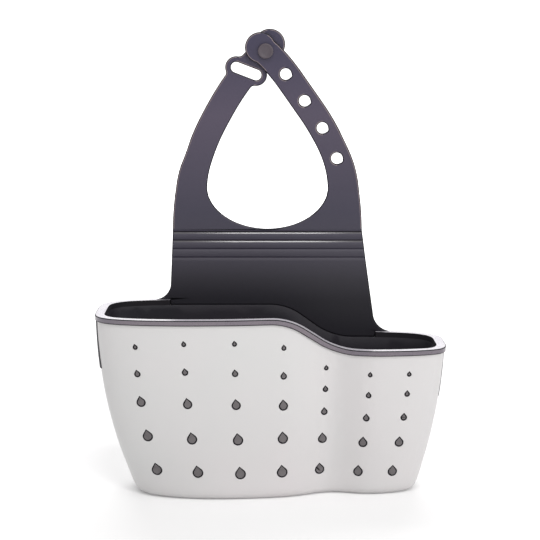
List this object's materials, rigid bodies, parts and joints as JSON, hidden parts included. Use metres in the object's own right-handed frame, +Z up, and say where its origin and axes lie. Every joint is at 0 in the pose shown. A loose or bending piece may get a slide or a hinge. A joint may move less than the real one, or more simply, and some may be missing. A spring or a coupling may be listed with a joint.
{
  "type": "kitchen sink caddy",
  "caption": "Free-form draining basket with a hard shell over a soft liner, whose folding back panel rises into a strap loop that snaps shut round a tap.",
  "frame": {"origin": "on the underside of the basket's floor, under the middle of the rim's length and 30.2 mm in front of the back wall's foot", "axes": "+Z up, -Y the front of the basket, +X towards the low end of the rim (the viewer's right)"},
  "size_m": [0.1785, 0.0707, 0.2355],
  "materials": {
    "shell_plastic": "satin light grey-white polypropylene",
    "soft_moulding": "matt dark grey-violet thermoplastic rubber"
  },
  "bodies": {
    "basket": {"outer_shell": "shell_plastic", "liner_cup": "soft_moulding", "rim_lip": "soft_moulding", "side_tab_left": "soft_moulding", "side_tab_right": "soft_moulding", "back_panel": "soft_moulding"},
    "rib_1": {"fold_rib_1": "soft_moulding"},
    "rib_2": {"fold_rib_2": "soft_moulding"},
    "rib_3": {"fold_rib_3": "soft_moulding"},
    "yoke": {"strap_yoke": "soft_moulding"},
    "left_loop": {"left_strap": "soft_moulding", "snap_stud": "soft_moulding"},
    "right_loop": {"right_strap": "soft_moulding"}
  },
  "joints": [
    {"name": "fold_1", "type": "hinge", "parent": "basket", "child": "rib_1", "pos_m": [0, 0.03155, 0.1158], "axis": [1, 0, 0], "range_deg": [-22.5, 22.5], "stiffness_Nm_per_rad": 0.2},
    {"name": "fold_2", "type": "hinge", "parent": "rib_1", "child": "rib_2", "pos_m": [0, 0.03155, 0.1203], "axis": [1, 0, 0], "range_deg": [-22.5, 22.5], "stiffness_Nm_per_rad": 0.2},
    {"name": "fold_3", "type": "hinge", "parent": "rib_2", "child": "rib_3", "pos_m": [0, 0.03155, 0.1248], "axis": [1, 0, 0], "range_deg": [-22.5, 22.5], "stiffness_Nm_per_rad": 0.2},
    {"name": "fold_4", "type": "hinge", "parent": "rib_3", "child": "yoke", "pos_m": [0, 0.03155, 0.1293], "axis": [1, 0, 0], "range_deg": [-22.5, 22.5], "stiffness_Nm_per_rad": 0.2},
    {"name": "right_strap_flex", "type": "hinge", "parent": "yoke", "child": "right_loop", "pos_m": [0, 0.03155, 0.1499], "axis": [1, 0, 0], "range_deg": [0, 40], "stiffness_Nm_per_rad": 0.1},
    {"name": "left_strap_flex", "type": "hinge", "parent": "yoke", "child": "left_loop", "pos_m": [0, 0.03155, 0.1499], "axis": [1, 0, 0], "range_deg": [-40, 0], "stiffness_Nm_per_rad": 0.1}
  ]
}
